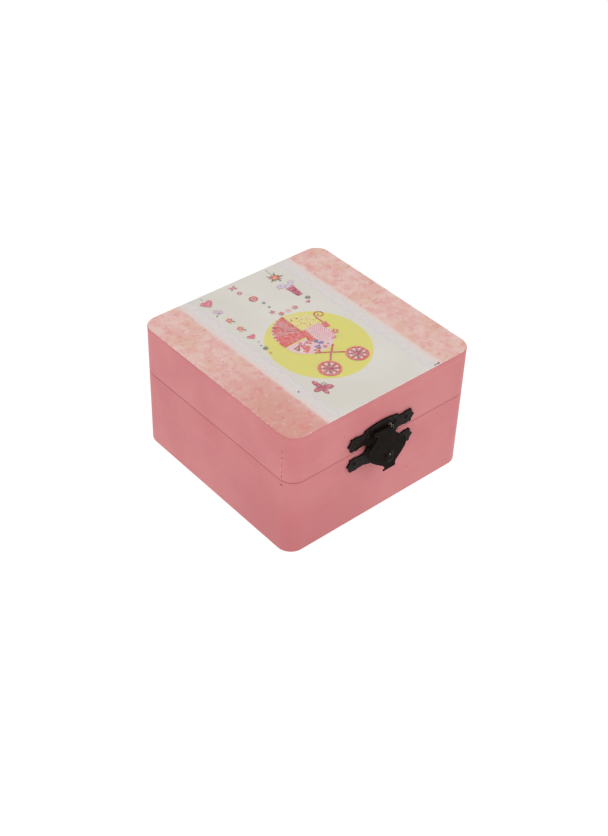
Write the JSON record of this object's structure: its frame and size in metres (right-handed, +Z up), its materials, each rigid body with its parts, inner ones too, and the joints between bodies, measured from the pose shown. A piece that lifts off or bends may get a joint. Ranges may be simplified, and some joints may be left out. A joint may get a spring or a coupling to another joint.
{
  "type": "ballerina jewellery box",
  "caption": "Square pink painted wooden jewellery box with a printed hinged lid, metal hasp, folding spring-mounted dancer, lined ring tray, mirror and wind-up comb movement.",
  "frame": {"origin": "middle of the underside of the box", "axes": "+Z up from the resting face, -Y towards the front with the clasp, +X to the right seen from the front"},
  "size_m": [0.1, 0.1243, 0.0622],
  "materials": {
    "wood_paint": "brushed on matt pink paint over wood",
    "velvet": "velvet",
    "satin": "satin on card",
    "print": "varnished printed paper",
    "mirror": "silvered glass",
    "bronze": "dark antique bronze",
    "steel": "plain steel",
    "brass": "polished brass",
    "figure": "painted plastic",
    "net": "stiff net"
  },
  "bodies": {
    "case": {"base_front_board": "wood_paint", "base_back_board": "wood_paint", "base_left_board": "wood_paint", "base_right_board": "wood_paint", "bottom_panel": "wood_paint", "tray_floor_lining": "velvet", "tray_wall_lining": "velvet", "tray_divider": "velvet", "ring_rolls": "velvet", "partition_board": "wood_paint", "deck_board": "wood_paint", "deck_lining": "velvet", "hinge_left_lower_leaf": "bronze", "hinge_right_lower_leaf": "bronze", "hinge_pins": "bronze", "catch_plate": "bronze", "case_nails": "bronze", "bedplate": "steel", "movement_screws": "brass", "spring_housing": "brass", "mainspring": "steel", "cylinder_bearing": "brass", "comb": "steel", "comb_base": "brass", "governor_frame": "brass", "spindle_bracket": "brass", "spindle_bush": "brass", "dancer_spring_lower": "steel"},
    "lid": {"lid_front_board": "wood_paint", "lid_back_board": "wood_paint", "lid_left_board": "wood_paint", "lid_right_board": "wood_paint", "lid_top_panel": "wood_paint", "lid_print": "print", "lid_ceiling_lining": "satin", "lid_wall_lining": "satin", "mirror": "mirror", "hinge_left_upper_leaf": "bronze", "hinge_right_upper_leaf": "bronze", "lid_nails": "bronze", "hasp_plate": "bronze", "hasp_pin": "bronze"},
    "hasp": {"hasp": "bronze"},
    "key": {"winding_key": "brass", "winding_arbor": "steel", "great_wheel": "brass"},
    "cylinder": {"pinned_cylinder": "brass", "cylinder_pins": "steel", "cylinder_gears": "brass"},
    "governor": {"governor_wheel": "brass"},
    "fan": {"fan_shaft": "steel"},
    "spindle": {"spindle": "brass"},
    "spring_mid": {"dancer_spring_upper": "steel"},
    "spring_top": {"spring_ferrule": "brass"},
    "dancer": {"dancer_body": "figure", "dancer_tutu": "net"},
    "stop_rod": {"stop_rod": "steel"}
  },
  "joints": [
    {"name": "lid_hinge", "type": "hinge", "parent": "case", "child": "lid", "pos_m": [0, 0.0517, 0.03862], "axis": [-1, 0, 0], "range_deg": [0, 100]},
    {"name": "hasp_swing", "type": "hinge", "parent": "lid", "child": "hasp", "pos_m": [-0.0021, -0.0519, 0.0446], "axis": [-1, 0, 0], "range_deg": [0, 150]},
    {"name": "key_turn", "type": "hinge", "parent": "case", "child": "key", "pos_m": [0, 0.0424, 0.0215], "axis": [0, -1, 0], "continuous": true},
    {"name": "cylinder_spin", "type": "hinge", "parent": "case", "child": "cylinder", "pos_m": [0.02, 0.02885, 0.0215], "axis": [1, 0, 0], "continuous": true},
    {"name": "governor_spin", "type": "hinge", "parent": "case", "child": "governor", "pos_m": [0.035, 0.03125, 0.02861], "axis": [1, 0, 0], "continuous": true},
    {"name": "fan_spin", "type": "hinge", "parent": "case", "child": "fan", "pos_m": [0.0362, 0.03672, 0.0215], "axis": [0, 0, 1], "continuous": true},
    {"name": "spindle_spin", "type": "hinge", "parent": "case", "child": "spindle", "pos_m": [0, 0.02885, 0.03], "axis": [0, 0, 1], "continuous": true},
    {"name": "dancer_bend_lower", "type": "hinge", "parent": "case", "child": "spring_mid", "pos_m": [0, 0.02885, 0.04045], "axis": [-1, 0, 0], "range_deg": [0, 45], "deforming": ["dancer_spring_lower"]},
    {"name": "dancer_bend_upper", "type": "hinge", "parent": "spring_mid", "child": "spring_top", "pos_m": [0, 0.0258, 0.0435], "axis": [-1, 0, 0], "range_deg": [0, 45], "deforming": ["dancer_spring_upper"]},
    {"name": "dancer_spin", "type": "hinge", "parent": "spring_top", "child": "dancer", "pos_m": [0, 0.02365, 0.0435], "axis": [0, -1, 0], "continuous": true},
    {"name": "stop_rod_slide", "type": "slide", "parent": "case", "child": "stop_rod", "axis": [0, 0, 1], "range_m": [0, 0.003]}
  ],
  "couplings": [
    {"joint": "cylinder_spin", "follows": "key_turn", "ratio": 2.125},
    {"joint": "spindle_spin", "follows": "key_turn", "ratio": 2.125},
    {"joint": "dancer_spin", "follows": "key_turn", "ratio": 2.125},
    {"joint": "governor_spin", "follows": "key_turn", "ratio": -4.25},
    {"joint": "fan_spin", "follows": "key_turn", "ratio": 68},
    {"joint": "dancer_bend_lower", "follows": "lid_hinge", "ratio": 0.45},
    {"joint": "dancer_bend_upper", "follows": "lid_hinge", "ratio": 0.45},
    {"joint": "stop_rod_slide", "follows": "lid_hinge", "m_per_rad": 0.0017188}
  ]
}
